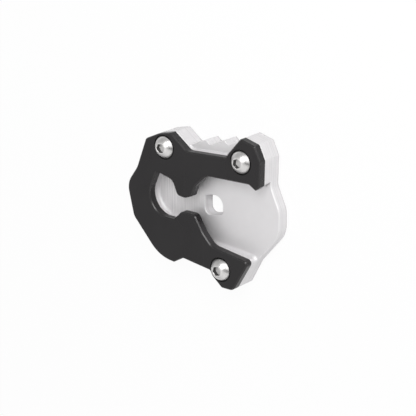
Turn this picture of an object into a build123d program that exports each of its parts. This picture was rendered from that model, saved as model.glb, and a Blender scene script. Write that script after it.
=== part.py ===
from build123d import *
import os
from itertools import cycle
from math import acos, atan2, cos, hypot, radians, sin, tan

# Kickstand foot enlarger, lying on its ground face, with +Z up through the plates.
# Lengths are millimetres and angles are degrees. Places in the plan run from the upper
# left screw's axis, across and up the plate. The whole part moves to its origin last.

# Screw axes in the plan
screw_span = 44.5            # upper left screw to upper right screw, across
screw_rise = 1.5             # upper right screw above the upper left one
lower_screw_across = 32.5
lower_screw_drop = 51.75

# Heights of the stacked plates
base_height = 10.4           # ears and rim of the base plate
flange_height = 5.7          # pocket floor and the wide lobe beyond it
teeth_step = 1.4             # the toothed edge lies this much below the ears
clamp_thickness = 3.5

# Throat of the C, where the stand's leg comes through the clamp plate
throat_across = 0.8
throat_drop = 23.7
throat_radius = 10.0

# Pocket for the stand's foot
foot_lip = 2.0               # how far the clamp plate reaches over the pocket
foot_lip_above = 1.0         # the same along the pocket's upper wall
ear_end_above_heel = 0.8     # the base's right ear ends this far short of the clamp's heel
pocket_fillet = 1.5          # corner radius of the cutter along the floor

# Lobe of the base plate beyond the open side of the pocket
lobe_reach = 15.3            # upper right screw to the lobe's outermost side
lobe_drop = 22.2             # upper right screw down to the top of that side
lobe_flat = 11.3             # length of that side before rounding

# Saw teeth on the upper edge, between the ears
teeth_across = 12.3          # first tooth's root from the upper left screw
teeth_up = 2.4
tooth_run = 8.5              # gentle side, across
tooth_rise = 3.6             # gentle side, up
tooth_back_run = 2.1         # steep side, across
tooth_back_drop = 1.8        # steep side, down
tooth_tip_radius = 0.5
tooth_root_radius = 0.5
tooth_flank_gap = 1.0        # no tip or root stands nearer to the right ear's flank
teeth_step_fillet = 1.0

# Window through the pocket floor, a rounded four-sided hole
window_across = 22.3
window_drop = 25.2
window_width = 10.3
window_length = 9.6
window_slant = 13.5

# Edge breaks
clamp_chamfer = 0.5
base_chamfer = 0.4
window_chamfer = 0.3
hole_chamfer = 0.5

# Button head socket screws, M6
screw_diameter = 6.0
head_diameter = 10.5
head_height = 3.3
head_rim = 0.4               # straight edge below the dome
head_flat_diameter = 5.2     # flat top around the socket
socket_width = 4.0           # across flats
socket_depth = 2.1
screw_tip_chamfer = 0.7
screw_recess = 0.4           # screw end above the ground face
upper_left_socket_turn = 8.0
upper_right_socket_turn = 24.0
lower_socket_turn = 14.0

# Clearances round the screws, on each side
thread_clearance = 0.05
clamp_hole_clearance = 0.3
head_seat_clearance = 0.6
head_seat_depth = 0.6

# Places that follow from the sizes above
upper_left = Vector(0, 0)
upper_right = Vector(screw_span, screw_rise)
lower = Vector(lower_screw_across, -lower_screw_drop)
throat = Vector(throat_across, -throat_drop)
window = Vector(window_across, -window_drop)
clamp_top = base_height + clamp_thickness
head_seat = clamp_top - head_seat_depth
outside = 25.0               # cutters run this far past the edges


def around(centre, *corners):
    """Corners given from a centre, as (across, up, corner radius)."""
    return [(centre.X + across, centre.Y + up, radius) for across, up, radius in corners]


def rounded_face(corners):
    """A flat face inside a closed run of corners, each rounded by its own radius."""
    points = [(x, y) for x, y, radius in corners]
    radii = [radius for x, y, radius in corners]
    return make_face(FilletPolyline(*points, radius=radii, close=True))


def crossing(first, second, third, fourth):
    """Where the line through two points meets the line through two others."""
    along = second - first
    other = fourth - third
    share = (third - first).cross(other).Z / along.cross(other).Z
    return first + along * share


def beyond(first, second, distance):
    """The point at a distance past the second one, on the line from the first."""
    return second + (second - first).normalized() * distance


def sharp(point):
    return (point.X, point.Y, 0)


def place(corner):
    return Vector(corner[0], corner[1])


def moved_up(corners, distance):
    """The same corners, moved up the plate by a distance."""
    return [(x, y + distance, radius) for x, y, radius in corners]


def throat_corner(start, radius):
    """The corner below a start point whose rounding is an arc about the throat's centre."""
    away = start - throat
    bearing = atan2(away.Y, away.X) + acos(radius / away.length)
    across = radius * (1 + sin(bearing)) / cos(bearing)
    return (throat.X + across, throat.Y - radius, radius)


# Corners of the outline that both plates share, clockwise seen from above
lower_ear = around(
    lower,
    (7.1, -8.65, 3.5),
    (0.4, -8.75, 1.5),
    (-5.1, -4.2, 3.0),
    (-6.3, -1.85, 0.8),
)
belly = around(
    throat,
    (9.2, -27.9, 2.0),
    (3.5, -31.2, 1.5),
    (-5.6, -30.2, 18.0),
    (-20.9, -13.7, 6.0),
    (-24.5, 1.8, 9.0),
    (-18.1, 10.7, 10.0),
)
upper_left_ear = around(
    upper_left,
    (-11.3, 2.1, 2.5),
    (-3.5, 5.8, 8.0),
    (4.1, 7.5, 1.0),
)
upper_right_ear = around(
    upper_right,
    (-0.1, 10.7, 1.0),
    (7.8, 8.7, 0.8),
    (10.9, 2.2, 0.8),
)
closed_side = lower_ear + belly + upper_left_ear

# Corners of the clamp plate alone: the notch over the teeth and the inside of the C
notch = around(upper_left, (13.7, 0.5, 4.0)) + around(upper_right, (-9.1, 0.4, 2.0))
heel = around(upper_right, (10.5, -9.6, 0.8), (8.0, -11.6, 0.8))
hook = around(upper_right, (4.2, -9.4, 1.5))
tongue = around(
    throat,
    (23.8, 14.8, 4.0),
    (17.2, 8.6, 5.0),
    (15.2, 3.4, 1.2),
    (10.7, 1.7, 5.0),
    (6.4, 2.1, 2.0),
    (3.5, 8.8, 4.0),
)
throat_start = throat + Vector(-5.9, throat_radius + 1.1)
bump = around(
    throat,
    (4.0, -throat_radius, 0.8),
    (8.9, -5.2, 2.5),
    (16.8, -5.2, 2.5),
    (21.5, -12.9, 10.0),
)
arm = around(lower, (-5.1, 9.85, 6.0), (16.4, 7.05, 1.85))

# Corners of the pocket's walls as if they stood flush with the clamp plate's inner edge
upper_wall = around(upper_right, (1.0, -9.5, 1.6)) + around(throat, (21.4, 14.9, 6.0))
lower_wall = around(throat, (2.2, -throat_radius, 6.0)) + around(lower, (-13.8, 10.9, 8.0), (14.3, 8.7, 1.6))


def clamp_outline():
    inside_of_c = tongue + [(throat_start.X, throat_start.Y, 1.5), throat_corner(throat_start, throat_radius)]
    return closed_side + notch + upper_right_ear + heel + hook + inside_of_c + bump + arm


def before(point, flank_start, flank_end):
    """How far a point lies to the left of a flank that runs up the plate."""
    return (flank_end - flank_start).normalized().cross(point - flank_start).Z


def saw_teeth():
    """Corners of the toothed edge, from the left ear's flank to the right ear's."""
    left_flank = place(upper_left_ear[-1]), place(notch[0])
    right_flank = place(notch[-1]), place(upper_right_ear[0])
    gentle = Vector(tooth_run, tooth_rise)
    steep = Vector(tooth_back_run, -tooth_back_drop)
    start = upper_left + Vector(teeth_across, teeth_up)
    first = crossing(*left_flank, start, start + gentle)
    corners = [(first.X, first.Y, tooth_root_radius)]
    for side, radius in cycle([(gentle, tooth_tip_radius), (steep, tooth_root_radius)]):
        end = start + side
        if before(end, *right_flank) < tooth_flank_gap:
            break
        corners.append((end.X, end.Y, radius))
        start = end
    last = crossing(start, end, *right_flank)
    return corners + [(last.X, last.Y, tooth_root_radius)]


def base_outline():
    lobe = around(
        upper_right,
        (10.4, -11.4, 6.0),
        (lobe_reach, -lobe_drop, 8.0),
        (lobe_reach, -lobe_drop - lobe_flat, 12.0),
    )
    lobe_end = around(lower, (14.2, 4.4, 8.0))
    return closed_side + saw_teeth() + upper_right_ear + lobe + lobe_end


def pocket_cutter():
    """The space above the floor: round the foot, through the open side and over the lobe."""
    above = moved_up(upper_wall, foot_lip_above)
    below = moved_up(lower_wall, -foot_lip)
    corner = throat + Vector(-8.0, throat_radius + foot_lip_above + 0.9)
    closed_end = [(corner.X, corner.Y, 2.0), throat_corner(corner, throat_radius + foot_lip)]
    low_end = place(below[-1]) - Vector(0, outside)
    ear_end = place(heel[-1]) + Vector(0, ear_end_above_heel)
    wall_end = beyond(place(above[0]), ear_end, outside)
    far = upper_right.X + lobe_reach + outside
    past_lobe = [sharp(low_end), (far, low_end.Y, 0), (far, wall_end.Y, 0), sharp(wall_end)]
    room = Pos(0, 0, flange_height) * extrude(rounded_face(above + closed_end + below + past_lobe), base_height)
    room = fillet(room.edges().group_by(Axis.Z)[0], pocket_fillet)

    # Beyond the upper right ear's end the lobe is faced off flat, with no fillet
    ear_side = ear_end + place(heel[0]) - place(heel[1])
    side_end = beyond(ear_end, ear_side, outside)
    faced = [sharp(ear_end), sharp(side_end), (far, side_end.Y, 0), sharp(wall_end), (ear_end.X, wall_end.Y, 0)]
    return room + Pos(0, 0, flange_height) * extrude(rounded_face(faced), base_height)


def teeth_cutter():
    """The space above the lowered teeth, which follows the clamp plate's notch."""
    left_end = beyond(place(notch[0]), place(upper_left_ear[-1]), outside)
    right_end = beyond(place(notch[-1]), place(upper_right_ear[0]), outside)
    corners = [sharp(left_end)] + notch + [sharp(right_end)]
    room = Pos(0, 0, base_height - teeth_step) * extrude(rounded_face(corners), base_height)
    return fillet(room.edges().group_by(Axis.Z)[0], teeth_step_fillet)


def window_outline():
    half_width = window_width / 2
    half_length = window_length / 2
    skew = half_width * tan(radians(window_slant))
    corners = around(
        window,
        (-half_width, half_length - skew, 1.2),
        (half_width, half_length + skew, 4.5),
        (half_width, -half_length + skew, 1.5),
        (-half_width, -half_length - skew, 3.0),
    )
    return rounded_face(corners)


def edges_along(solid, outline, height):
    """The solid's level edges at a height that run along an outline in the plan."""
    line = Pos(0, 0, height) * outline.wire()
    level = solid.edges().filter_by_position(Axis.Z, height - 0.01, height + 0.01)
    return level.filter_by(lambda edge: line.distance_to(edge @ 0.5) < 0.01)


def chamfered_hole(radius, bottom, top, edge):
    """A round cutter from bottom to top that widens by the edge break at both ends."""
    profile = Polyline(
        (0, bottom),
        (radius + edge, bottom),
        (radius, bottom + edge),
        (radius, top - edge),
        (radius + edge, top),
        (0, top),
        close=True,
    )
    return revolve(make_face(Plane.XZ * profile), Axis.Z)


def base_plate():
    outline = rounded_face(base_outline())
    blank = extrude(outline, base_height)
    faces = blank.faces().sort_by(Axis.Z)
    blank = chamfer(faces[0].edges() + faces[-1].edges(), base_chamfer)
    plate = blank - pocket_cutter() - teeth_cutter()
    plate = chamfer(edges_along(plate, outline, flange_height), base_chamfer)
    plate -= extrude(window_outline(), flange_height)
    window_edges = edges_along(plate, window_outline(), flange_height)
    window_edges += edges_along(plate, window_outline(), 0)
    plate = chamfer(window_edges, window_chamfer)
    for screw_axis in (upper_left, upper_right, lower):
        tapped = chamfered_hole(screw_diameter / 2 + thread_clearance, 0, base_height, hole_chamfer)
        plate -= Pos(screw_axis) * tapped
    return plate


def clamp_plate():
    plate = Pos(0, 0, base_height) * extrude(rounded_face(clamp_outline()), clamp_thickness)
    plate = chamfer(plate.faces().sort_by(Axis.Z)[-1].edges(), clamp_chamfer)
    bore = Cylinder(screw_diameter / 2 + clamp_hole_clearance, 4 * clamp_thickness)
    seat = Cylinder(
        head_diameter / 2 + head_seat_clearance,
        clamp_thickness,
        align=(Align.CENTER, Align.CENTER, Align.MIN),
    )
    for screw_axis in (upper_left, upper_right, lower):
        plate -= Pos(screw_axis.X, screw_axis.Y, clamp_top) * bore
        plate -= Pos(screw_axis.X, screw_axis.Y, head_seat) * seat
    return plate


def screw(socket_turn):
    """Button head screw on the Z axis, at the height where it is seated."""
    head_radius = head_diameter / 2
    flat_radius = head_flat_diameter / 2
    shank_radius = screw_diameter / 2
    head_top = head_seat + head_height
    rim_top = head_seat + head_rim
    dome = head_height - head_rim
    dome_centre = (head_radius**2 - flat_radius**2 - dome**2) / (2 * dome)
    profile = [
        Line((0, head_top), (flat_radius, head_top)),
        RadiusArc((flat_radius, head_top), (head_radius, rim_top), hypot(head_radius, dome_centre)),
        Polyline(
            (head_radius, rim_top),
            (head_radius, head_seat),
            (shank_radius, head_seat),
            (shank_radius, screw_recess + screw_tip_chamfer),
            (shank_radius - screw_tip_chamfer, screw_recess),
            (0, screw_recess),
            (0, head_top),
        ),
    ]
    body = revolve(make_face(Plane.XZ * Curve(profile)), Axis.Z)
    hexagon = Rot(0, 0, socket_turn) * RegularPolygon(socket_width / 2, 6, major_radius=False)
    return body - Pos(0, 0, head_top - socket_depth) * extrude(hexagon, head_height)


screws = {
    "upper_left_screw": (upper_left, upper_left_socket_turn),
    "upper_right_screw": (upper_right, upper_right_socket_turn),
    "lower_screw": (lower, lower_socket_turn),
}
pieces = {"base_plate": base_plate(), "clamp_plate": clamp_plate()}
for name, (screw_axis, socket_turn) in screws.items():
    pieces[name] = Pos(screw_axis) * screw(socket_turn)

# The origin is the middle of the whole part's box, on the ground
centre = Compound(list(pieces.values())).bounding_box().center()
os.makedirs("parts", exist_ok=True)
for name, piece in pieces.items():
    export_step(Pos(-centre.X, -centre.Y, 0) * piece, f"parts/{name}.step")
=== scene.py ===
from math import cos, pi, radians, sin

import bpy
import numpy as np
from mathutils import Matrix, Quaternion, Vector


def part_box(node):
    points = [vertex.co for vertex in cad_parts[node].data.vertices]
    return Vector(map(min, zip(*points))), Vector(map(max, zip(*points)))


# Kickstand foot enlarger. A silver plate rests on the floor, a black C-shaped plate lies
# on its rim, and three button head screws go down through the two. Metres, +Z up.
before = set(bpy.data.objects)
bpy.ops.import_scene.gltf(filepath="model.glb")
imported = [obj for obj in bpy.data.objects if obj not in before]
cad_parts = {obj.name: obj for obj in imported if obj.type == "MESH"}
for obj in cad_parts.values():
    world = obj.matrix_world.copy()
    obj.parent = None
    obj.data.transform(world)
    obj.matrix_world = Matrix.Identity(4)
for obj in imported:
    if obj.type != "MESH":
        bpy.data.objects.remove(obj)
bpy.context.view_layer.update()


# Base plate: milled from aluminium plate, then blasted and anodised in its own silver.
# Its walls keep the cutter's fine level lines and one line where two passes meet, and
# the floor inside its throat keeps the streaks of a coarser cutter.


def node(tree, kind, inputs=None, **settings):
    """A new node with its settings, its inputs taken from sockets or plain values."""
    made = tree.nodes.new(kind)
    for name, value in settings.items():
        setattr(made, name, value)
    for name, value in (inputs or {}).items():
        if isinstance(value, bpy.types.NodeSocket):
            tree.links.new(value, made.inputs[name])
        else:
            made.inputs[name].default_value = value
    return made


def maths(tree, operation, *values):
    """The result of one sum on sockets or numbers."""
    inputs = dict(enumerate(values))
    return node(tree, "ShaderNodeMath", inputs, operation=operation).outputs[0]


def vector_maths(tree, operation, *values):
    """The result of one sum on vectors, which is a vector or, for some sums, a number."""
    inputs = dict(enumerate(values))
    made = node(tree, "ShaderNodeVectorMath", inputs, operation=operation)
    return made.outputs["Value" if operation in ("LENGTH", "DOT_PRODUCT") else "Vector"]


def ramp(tree, value, start, end):
    """A value moved smoothly from 0 to 1 as it goes from start to end."""
    inputs = {"Value": value, "From Min": start, "From Max": end}
    made = node(tree, "ShaderNodeMapRange", inputs, interpolation_type="SMOOTHSTEP")
    return made.outputs["Result"]


def raised(tree, value, mask, amount):
    """A value with an amount added where a mask says."""
    return maths(tree, "MULTIPLY_ADD", mask, amount, value)


def blend(tree, share, first, second):
    """The mix of two colours by a share from 0 to 1."""
    made = node(tree, "ShaderNodeMix", {"Factor": share}, data_type="RGBA")
    for socket, colour in zip([made.inputs[6], made.inputs[7]], [first, second]):
        if isinstance(colour, bpy.types.NodeSocket):
            tree.links.new(colour, socket)
        else:
            socket.default_value = (*colour, 1.0)
    return made.outputs[2]


def tinted(tree, colour, mask, most, tint):
    """A colour moved towards a tint where a mask says, by a share of at most the given one."""
    return blend(tree, maths(tree, "MULTIPLY", mask, most), colour, tint)


def embossed(tree, height, strength, depth, normal):
    """A normal tilted by the slopes of a height from 0 to 1, which stands for the depth."""
    inputs = {"Height": height, "Strength": strength, "Distance": depth, "Normal": normal}
    return node(tree, "ShaderNodeBump", inputs).outputs["Normal"]


def drawn_lines(tree, place, stretch, detail, turn=0.0, spacing=1.0):
    """Noise whose place is turned about the upright axis and scaled along each axis, so
    that it runs out into lines along the axes with a small scale."""
    inputs = {"Vector": place, "Rotation": (0.0, 0.0, turn), "Scale": stretch}
    laid = node(tree, "ShaderNodeMapping", inputs).outputs["Vector"]
    inputs = {"Vector": laid, "Scale": spacing, "Detail": detail}
    return node(tree, "ShaderNodeTexNoise", inputs).outputs["Fac"]


def upward(tree):
    """The height of a face's unit normal: 1 on a face that looks up, 0 on a wall."""
    facing = node(tree, "ShaderNodeNewGeometry").outputs["Normal"]
    return node(tree, "ShaderNodeSeparateXYZ", {"Vector": facing}).outputs["Z"]


def new_group(name, inputs, outputs):
    """An empty node group with its sockets, and its input and output nodes."""
    tree = bpy.data.node_groups.new(name, "ShaderNodeTree")
    for label, (kind, value) in inputs.items():
        socket = tree.interface.new_socket(name=label, in_out="INPUT", socket_type=kind)
        if value is not None:
            socket.default_value = value
    for label, kind in outputs.items():
        tree.interface.new_socket(name=label, in_out="OUTPUT", socket_type=kind)
    return tree, tree.nodes.new("NodeGroupInput"), tree.nodes.new("NodeGroupOutput")


def use_group(tree, group, **inputs):
    """A node group placed in a tree, its inputs taken from sockets or plain values."""
    made = tree.nodes.new("ShaderNodeGroup")
    made.node_tree = group
    for name, value in inputs.items():
        socket = made.inputs[name.capitalize()]
        if isinstance(value, bpy.types.NodeSocket):
            tree.links.new(value, socket)
        else:
            socket.default_value = value
    return made


def new_material(name):
    """A material with its Principled shader, ready for its maps."""
    material = bpy.data.materials.new(name)
    material.use_nodes = True
    return material, material.node_tree, material.node_tree.nodes["Principled BSDF"]


def finish_node(name, material):
    """Gives one node of the frame its finish."""
    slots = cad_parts[name].data.materials
    slots.clear()
    slots.append(material)


# Sharp edges shade as if broken by a small radius, and the mask marks the break itself,
# where the rounded normal and the face's own no longer agree
edge_break, group_in, group_out = new_group(
    "edge break",
    {"Radius": ("NodeSocketFloat", 0.0002)},
    {"Mask": "NodeSocketFloat", "Normal": "NodeSocketVector"},
)
agreed, broken_off = 0.995, 0.90
radius = group_in.outputs["Radius"]
rounded = node(edge_break, "ShaderNodeBevel", {"Radius": radius}, samples=8).outputs["Normal"]
facing = node(edge_break, "ShaderNodeNewGeometry").outputs["Normal"]
likeness = vector_maths(edge_break, "DOT_PRODUCT", rounded, facing)
edge_mask = ramp(edge_break, likeness, agreed, broken_off)
edge_break.links.new(edge_mask, group_out.inputs["Mask"])
edge_break.links.new(rounded, group_out.inputs["Normal"])

# Blasted and etched skin: a fine grain as a height, and broad cloudiness as a mask
blasted, group_in, group_out = new_group(
    "blasted skin",
    {"Grain": ("NodeSocketFloat", 6000.0), "Cloud": ("NodeSocketFloat", 90.0)},
    {"Height": "NodeSocketFloat", "Cloudiness": "NodeSocketFloat"},
)
clear, clouded = 0.3, 0.7
place = node(blasted, "ShaderNodeTexCoord").outputs["Object"]
inputs = {"Vector": place, "Scale": group_in.outputs["Grain"], "Detail": 2.0}
grain = node(blasted, "ShaderNodeTexNoise", inputs).outputs["Fac"]
inputs = {"Vector": place, "Scale": group_in.outputs["Cloud"], "Detail": 3.0}
cloud = node(blasted, "ShaderNodeTexNoise", inputs).outputs["Fac"]
blasted.links.new(grain, group_out.inputs["Height"])
blasted.links.new(ramp(blasted, cloud, clear, clouded), group_out.inputs["Cloudiness"])

# Painted shade: narrow gaps and inside corners are coloured darker than the light alone leaves
# them
crevice, group_in, group_out = new_group(
    "crevice",
    {"Reach": ("NodeSocketFloat", 0.0008)},
    {"Mask": "NodeSocketFloat"},
)
open_share, shut_share = 0.80, 0.35
inputs = {"Distance": group_in.outputs["Reach"]}
reached = node(crevice, "ShaderNodeAmbientOcclusion", inputs, samples=8).outputs["AO"]
crevice.links.new(ramp(crevice, reached, open_share, shut_share), group_out.inputs["Mask"])

silver, tree, shader = new_material("silver anodised aluminium")
silver_colour = (0.775, 0.763, 0.772)
silver_cloud = (0.76, 0.748, 0.757)
silver_edge = (0.82, 0.812, 0.812)
silver_painted_light = (0.87, 0.857, 0.864)
silver_line = (0.62, 0.615, 0.62)
silver_painted_shade = (0.33, 0.325, 0.325)
silver_roughness = 0.57

# Walls and level faces are told apart by how far their normals stand upright
place = node(tree, "ShaderNodeTexCoord").outputs["Object"]
upright = maths(tree, "ABSOLUTE", upward(tree))
wall = ramp(tree, upright, 0.8, 0.3)
level = ramp(tree, upright, 0.9, 0.99)

# Level lines round the walls, fine across and drawn out along them
wall_stretch = (9.0, 9.0, 3600.0)
wall_lines = drawn_lines(tree, place, wall_stretch, detail=3.0)
wall_lines = maths(tree, "MULTIPLY", wall_lines, wall)
wall_line_tint = ramp(tree, wall_lines, 0.50, 0.66)

# The line where the cut from above meets the cut from below
meeting_height = 0.0038
meeting_half = 0.00022
meeting_core = 0.00004
height = node(tree, "ShaderNodeSeparateXYZ", {"Vector": place}).outputs["Z"]
off_line = maths(tree, "ABSOLUTE", maths(tree, "SUBTRACT", height, meeting_height))
meeting = maths(tree, "MULTIPLY", ramp(tree, off_line, meeting_half, meeting_core), wall)

# Arcs round the throat that the cutter's passes leave on level faces. At a scale of 1
# the wave node's rings lie 2 pi / 20 apart.
arc_spacing = 0.0011
arc_shift = (0.017592, -0.000506, 0.0)
inputs = {"Vector": place, "Location": arc_shift}
swept = node(tree, "ShaderNodeMapping", inputs).outputs["Vector"]
ring_scale = 2 * pi / (20 * arc_spacing)
inputs = {"Vector": swept, "Scale": ring_scale, "Distortion": 1.2, "Detail Scale": 0.4}
arcs = node(tree, "ShaderNodeTexWave", inputs, wave_type="RINGS", rings_direction="Z")
level_arcs = maths(tree, "MULTIPLY", arcs.outputs["Fac"], level)

# Straight streaks that a coarser cutter leaves on the floor inside the throat. The floor
# there is also coloured paler as painted light, because it looks brighter in the photograph.
throat_place = (-0.0215, 0.000506, 0.0)
throat_inner = 0.011
throat_outer = 0.0253
streak_stretch = (2900.0, 24.0, 24.0)
off_throat = vector_maths(tree, "SUBTRACT", place, throat_place)
off_throat = vector_maths(tree, "MULTIPLY", off_throat, (1.0, 1.0, 0.0))
off_throat = vector_maths(tree, "LENGTH", off_throat)
throat_light = ramp(tree, off_throat, throat_outer, throat_inner)
throat_light = maths(tree, "MULTIPLY", throat_light, level)
streaks = ramp(tree, drawn_lines(tree, place, streak_stretch, detail=2.0), 0.48, 0.64)
throat_streaks = maths(tree, "MULTIPLY", streaks, throat_light)

broken = use_group(tree, edge_break, radius=0.0003)
skin = use_group(tree, blasted, grain=5000.0, cloud=110.0)
gaps = use_group(tree, crevice, reach=0.0022)
colour = blend(tree, skin.outputs["Cloudiness"], silver_colour, silver_cloud)
colour = tinted(tree, colour, meeting, 0.8, silver_line)
colour = tinted(tree, colour, wall_line_tint, 0.45, silver_line)
# Painted light: the throat's floor is coloured paler
colour = blend(tree, throat_light, colour, silver_painted_light)
colour = tinted(tree, colour, throat_streaks, 0.7, silver_line)
colour = tinted(tree, colour, broken.outputs["Mask"], 0.8, silver_edge)
# Painted shade: gaps and inside corners are coloured darker
colour = blend(tree, gaps.outputs["Mask"], colour, silver_painted_shade)
tree.links.new(colour, shader.inputs["Base Color"])
shader.inputs["Metallic"].default_value = 0.65
roughness = raised(tree, silver_roughness, skin.outputs["Cloudiness"], 0.06)
roughness = raised(tree, roughness, wall_lines, 0.10)
roughness = raised(tree, roughness, throat_light, 0.12)
tree.links.new(roughness, shader.inputs["Roughness"])
normal = embossed(tree, skin.outputs["Height"], 0.25, 0.00002, broken.outputs["Normal"])
normal = embossed(tree, wall_lines, 0.6, 0.00004, normal)
normal = embossed(tree, level_arcs, 0.6, 0.00001, normal)
normal = embossed(tree, throat_streaks, 0.8, 0.00005, normal)
tree.links.new(normal, shader.inputs["Normal"])
finish_node("base_plate", silver)


# Clamp plate: cut from 3.5 mm aluminium plate, chamfered, blasted and anodised black.
# It lies on the base plate's rim, and its lips hold the stand's foot in the pocket.

# Light hairlines that handling leaves, in two directions
hairlines, group_in, group_out = new_group(
    "handling hairlines",
    {"Spacing": ("NodeSocketFloat", 300.0)},
    {"Mask": "NodeSocketFloat"},
)
hairline_turns = (0.6, 2.1)
hairline_stretch = (1.0, 0.03, 1.0)
place = node(hairlines, "ShaderNodeTexCoord").outputs["Object"]
spacing = group_in.outputs["Spacing"]
crossed = []
for turn in hairline_turns:
    streak = drawn_lines(hairlines, place, hairline_stretch, 1.0, turn, spacing)
    crossed.append(ramp(hairlines, streak, 0.70, 0.76))
hairlines.links.new(maths(hairlines, "MAXIMUM", *crossed), group_out.inputs["Mask"])

black, tree, shader = new_material("black anodised aluminium")
black_colour = (0.0098, 0.0086, 0.0095)
black_cloud = (0.0121, 0.0108, 0.0117)
black_wear_and_sheen = (0.08, 0.0785, 0.0780)
black_painted_shade = (0.003, 0.003, 0.003)
black_roughness = 0.26

# The chamfers stand at 45 degrees. They are cut last and left smoother, so they catch the
# light; they are also coloured paler, which is a painted highlight.
chamfer_upward = 0.707
off_chamfer = maths(tree, "ABSOLUTE", maths(tree, "SUBTRACT", upward(tree), chamfer_upward))
chamfer = ramp(tree, off_chamfer, 0.12, 0.08)

broken = use_group(tree, edge_break, radius=0.00015)
skin = use_group(tree, blasted, grain=4000.0, cloud=70.0)
marks = use_group(tree, hairlines, spacing=260.0)
gaps = use_group(tree, crevice, reach=0.0012)
colour = blend(tree, skin.outputs["Cloudiness"], black_colour, black_cloud)
# Hairlines are real wear; the paler broken edges are partly lighter anodising and partly
# painted highlight, and the paler chamfers are painted highlight
colour = tinted(tree, colour, marks.outputs["Mask"], 0.06, black_wear_and_sheen)
colour = tinted(tree, colour, broken.outputs["Mask"], 0.5, black_wear_and_sheen)
colour = tinted(tree, colour, chamfer, 0.28, black_wear_and_sheen)
# Painted shade: gaps and inside corners are coloured darker
colour = blend(tree, gaps.outputs["Mask"], colour, black_painted_shade)
tree.links.new(colour, shader.inputs["Base Color"])
shader.inputs["Specular IOR Level"].default_value = 0.34
tree.links.new(maths(tree, "MULTIPLY", chamfer, 0.2), shader.inputs["Metallic"])
roughness = raised(tree, black_roughness, skin.outputs["Cloudiness"], 0.06)
roughness = raised(tree, roughness, marks.outputs["Mask"], -0.04)
roughness = raised(tree, roughness, chamfer, -0.04)
roughness = raised(tree, roughness, gaps.outputs["Mask"], 0.4)
tree.links.new(roughness, shader.inputs["Roughness"])
normal = embossed(tree, skin.outputs["Height"], 0.2, 0.00002, broken.outputs["Normal"])
tree.links.new(normal, shader.inputs["Normal"])
finish_node("clamp_plate", black)


# Screws: three M6 button head screws of polished stainless steel, headed cold, with a
# hexagon socket. Turning leaves rings round each one's own axis, and its shank is
# threaded into the base plate.

# Rings round an axis, a thread below the head, and masks for the whole socket, for its
# shaded walls and for the rim that is sunk in the clamp plate's seat; the last two carry
# painted shade
turned, group_in, group_out = new_group(
    "turned screw",
    {"Vector": ("NodeSocketVector", None), "Spacing": ("NodeSocketFloat", 0.0002)},
    {
        "Height": "NodeSocketFloat",
        "Thread": "NodeSocketFloat",
        "Socket": "NodeSocketFloat",
        "Shade": "NodeSocketFloat",
        "Sunk": "NodeSocketFloat",
    },
)
thread_pitch = 0.001
thread_top = 0.0130
socket_reach = 0.00235
socket_top = 0.01655
seat_top, seat_shade = 0.01388, 0.01366

parts = node(turned, "ShaderNodeSeparateXYZ", {"Vector": group_in.outputs["Vector"]})
across, along, up = parts.outputs["X"], parts.outputs["Y"], parts.outputs["Z"]
across_squared = maths(turned, "MULTIPLY", across, across)
along_squared = maths(turned, "MULTIPLY", along, along)
radius = maths(turned, "SQRT", maths(turned, "ADD", across_squared, along_squared))
rings = maths(turned, "DIVIDE", radius, group_in.outputs["Spacing"])
rings = maths(turned, "SINE", maths(turned, "MULTIPLY", rings, 2 * pi))

round_axis = maths(turned, "DIVIDE", maths(turned, "ARCTAN2", along, across), 2 * pi)
turns = maths(turned, "ADD", maths(turned, "DIVIDE", up, thread_pitch), round_axis)
ridge = maths(turned, "PINGPONG", maths(turned, "FRACT", turns), 0.5)
shank = maths(turned, "LESS_THAN", up, thread_top)
thread = maths(turned, "MULTIPLY", ridge, shank)

near_axis = maths(turned, "LESS_THAN", radius, socket_reach)
below_top = maths(turned, "LESS_THAN", up, socket_top)
inside = maths(turned, "MULTIPLY", near_axis, below_top)
socket_wall = ramp(turned, maths(turned, "ABSOLUTE", upward(turned)), 0.9, 0.5)
shade = maths(turned, "MULTIPLY", inside, socket_wall)
turned.links.new(rings, group_out.inputs["Height"])
turned.links.new(thread, group_out.inputs["Thread"])
turned.links.new(inside, group_out.inputs["Socket"])
turned.links.new(shade, group_out.inputs["Shade"])
turned.links.new(ramp(turned, up, seat_top, seat_shade), group_out.inputs["Sunk"])

steel_colour = (0.75, 0.74, 0.73)
steel_worn = (0.66, 0.65, 0.645)
socket_painted_shade = (0.04, 0.039, 0.038)
steel_roughness = 0.31


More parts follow.
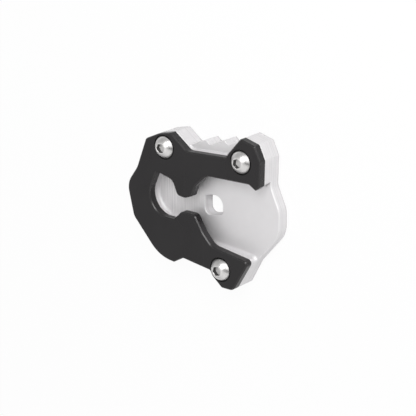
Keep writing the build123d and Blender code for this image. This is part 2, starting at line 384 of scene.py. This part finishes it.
def screw_steel(name):
    """Polished steel whose rings, thread and socket are centred on one screw's axis. The
    socket's walls and the sunk rim are coloured dark as painted shade, and its floor is
    dulled, because they look so in the photograph."""
    low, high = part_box(name)
    centre = [(low[i] + high[i]) / 2 for i in range(2)]
    steel, tree, shader = new_material(name.replace("_", " ") + " steel")
    place = node(tree, "ShaderNodeTexCoord").outputs["Object"]
    inputs = {"Vector": place, "Location": (-centre[0], -centre[1], 0.0)}
    centred = node(tree, "ShaderNodeMapping", inputs).outputs["Vector"]
    turning = use_group(tree, turned, vector=centred, spacing=0.00022)
    broken = use_group(tree, edge_break, radius=0.0002)
    marks = use_group(tree, hairlines, spacing=500.0)
    colour = tinted(tree, steel_colour, marks.outputs["Mask"], 0.5, steel_worn)
    # Painted shade on the socket's walls and on the rim sunk in the seat
    colour = tinted(tree, colour, turning.outputs["Shade"], 0.96, socket_painted_shade)
    colour = blend(tree, turning.outputs["Sunk"], colour, socket_painted_shade)
    tree.links.new(colour, shader.inputs["Base Color"])
    metal = raised(tree, 1.0, turning.outputs["Socket"], -0.7)
    tree.links.new(metal, shader.inputs["Metallic"])
    roughness = raised(tree, steel_roughness, marks.outputs["Mask"], 0.08)
    roughness = raised(tree, roughness, turning.outputs["Socket"], 0.3)
    tree.links.new(roughness, shader.inputs["Roughness"])
    normal = broken.outputs["Normal"]
    normal = embossed(tree, turning.outputs["Height"], 0.15, 0.000004, normal)
    normal = embossed(tree, turning.outputs["Thread"], 1.0, 0.0012, normal)
    tree.links.new(normal, shader.inputs["Normal"])
    return steel


for screw_name in ("upper_left_screw", "upper_right_screw", "lower_screw"):
    finish_node(screw_name, screw_steel(screw_name))


# Floor: a plain white sheet under the part, lit by the lamps, with the part's soft
# shadow. Seen straight on or in a reflection it is partly its own white.
floor_half = 1.5
corners = np.array([(-1, -1, 0), (1, -1, 0), (1, 1, 0), (-1, 1, 0)], dtype=float) * floor_half
floor_mesh = bpy.data.meshes.new("floor")
floor_mesh.from_pydata(corners.tolist(), [], [(0, 1, 2, 3)])
floor = bpy.data.objects.new("floor", floor_mesh)
bpy.context.scene.collection.objects.link(floor)

white = bpy.data.materials.new("white sheet")
white.use_nodes = True
tree = white.node_tree
tree.nodes.clear()
sheet_colour = (0.80, 0.80, 0.80, 1.0)
own_colour = (1.0, 1.0, 1.0, 1.0)
seen_share = 0.93
mirrored_share = 0.2
sheet = node(tree, "ShaderNodeBsdfDiffuse", {"Color": sheet_colour})
own_white = node(tree, "ShaderNodeEmission", {"Color": own_colour, "Strength": 1.0})
ray = node(tree, "ShaderNodeLightPath").outputs
seen = maths(tree, "MAXIMUM", ray["Is Camera Ray"], ray["Is Transmission Ray"])
share = maths(tree, "MULTIPLY", seen, seen_share)
share = raised(tree, share, ray["Is Glossy Ray"], mirrored_share)
inputs = {0: share, 1: sheet.outputs[0], 2: own_white.outputs[0]}
mixed = node(tree, "ShaderNodeMixShader", inputs)
node(tree, "ShaderNodeOutputMaterial", {"Surface": mixed.outputs[0]})
floor_mesh.materials.append(white)


# Light: a round soft lamp high over the teeth's side, a broad weak one overhead, and a
# grey sky. The sky is paler low down on the lobe's side, duskier behind the teeth, and
# has a dark strip beside the lobe, which draws the band across the polished heads.
world = bpy.context.scene.world or bpy.data.worlds.new("sky")
bpy.context.scene.world = world
world.use_nodes = True
sky = world.node_tree.nodes["Background"]
tree = world.node_tree
looked_at = node(tree, "ShaderNodeTexCoord").outputs["Generated"]


def bearing(azimuth, elevation):
    """The unit vector at an angle round the part from +X and an angle above the floor:
    the two angles' cosines and sines, as on a globe."""
    turned_to, lifted = radians(azimuth), radians(elevation)
    return Vector((cos(turned_to) * cos(lifted), sin(turned_to) * cos(lifted), sin(lifted)))


def sky_patch(azimuth, elevation, outer, inner):
    """A round part of the sky at a bearing, as a mask. It grows from 0 at the outer
    angle off the bearing to 1 at the inner one."""
    nearness = vector_maths(tree, "DOT_PRODUCT", looked_at, bearing(azimuth, elevation))
    return ramp(tree, nearness, cos(radians(outer)), cos(radians(inner)))


level_sky = (0.50, 0.50, 0.51)
high_sky = (0.62, 0.62, 0.62)
lobe_sky = (0.90, 0.90, 0.90)
bright_sky = (1.8, 1.8, 1.8)
dusky_sky = (0.46, 0.46, 0.46)
dark_strip = (0.05, 0.05, 0.05)
rise = node(tree, "ShaderNodeSeparateXYZ", {"Vector": looked_at}).outputs["Z"]
colour = blend(tree, ramp(tree, rise, 0.0, 0.5), level_sky, high_sky)
colour = blend(tree, sky_patch(-49.0, 11.5, 63.0, 26.0), colour, lobe_sky)
colour = blend(tree, sky_patch(34.0, 2.0, 40.0, 12.0), colour, bright_sky)
colour = blend(tree, sky_patch(112.0, 20.0, 45.0, 12.0), colour, dusky_sky)

# The strip follows the great circle that is square to its side, inside one patch
strip_side = (0.3006, 0.8590, -0.4145)
off_strip = maths(tree, "ABSOLUTE", vector_maths(tree, "DOT_PRODUCT", looked_at, strip_side))
strip = ramp(tree, off_strip, 0.30, 0.06)
strip = maths(tree, "MULTIPLY", strip, sky_patch(-10.0, 30.0, 37.0, 23.0))
colour = blend(tree, strip, colour, dark_strip)
tree.links.new(colour, sky.inputs["Color"])
sky.inputs["Strength"].default_value = 1.0


def soft_lamp(name, azimuth, elevation, distance, width, watts):
    """A round lamp at a bearing and a distance from the part, turned to its middle."""
    lamp = bpy.data.lights.new(name, "AREA")
    lamp.shape = "DISK"
    lamp.size = width
    lamp.energy = watts
    way_out = bearing(azimuth, elevation)
    holder = bpy.data.objects.new(name, lamp)
    holder.location = way_out * distance
    holder.rotation_euler = way_out.to_track_quat("Z", "Y").to_euler()
    bpy.context.scene.collection.objects.link(holder)


soft_lamp("teeth side lamp", 53.0, 45.0, 0.6, 0.32, 1.9)
soft_lamp("overhead lamp", 215.0, 82.0, 0.7, 1.05, 0.85)


# Camera: at the photograph's angle, with the part seen from its lobe side and the teeth
# at the top. The lens is set by its focal length in pixels on a picture 416 wide.
camera_place = Vector((0.443545, 0.239168, 0.532223))
aim = Vector((0.001495, -0.002601, 0.007))
roll = radians(112.1808)
focal_pixels = 1600
picture_pixels = 416
film_width = 36.0

camera_data = bpy.data.cameras.new("camera")
camera_data.sensor_width = film_width
camera_data.lens = focal_pixels / picture_pixels * film_width
camera_data.clip_start = 0.01
camera = bpy.data.objects.new("camera", camera_data)
camera.location = camera_place
camera.rotation_mode = "QUATERNION"
looking = (aim - camera_place).to_track_quat("-Z", "Y")
camera.rotation_quaternion = looking @ Quaternion((0, 0, 1), -roll)
bpy.context.scene.collection.objects.link(camera)
bpy.context.scene.camera = camera
bpy.context.scene.view_settings.view_transform = "Standard"
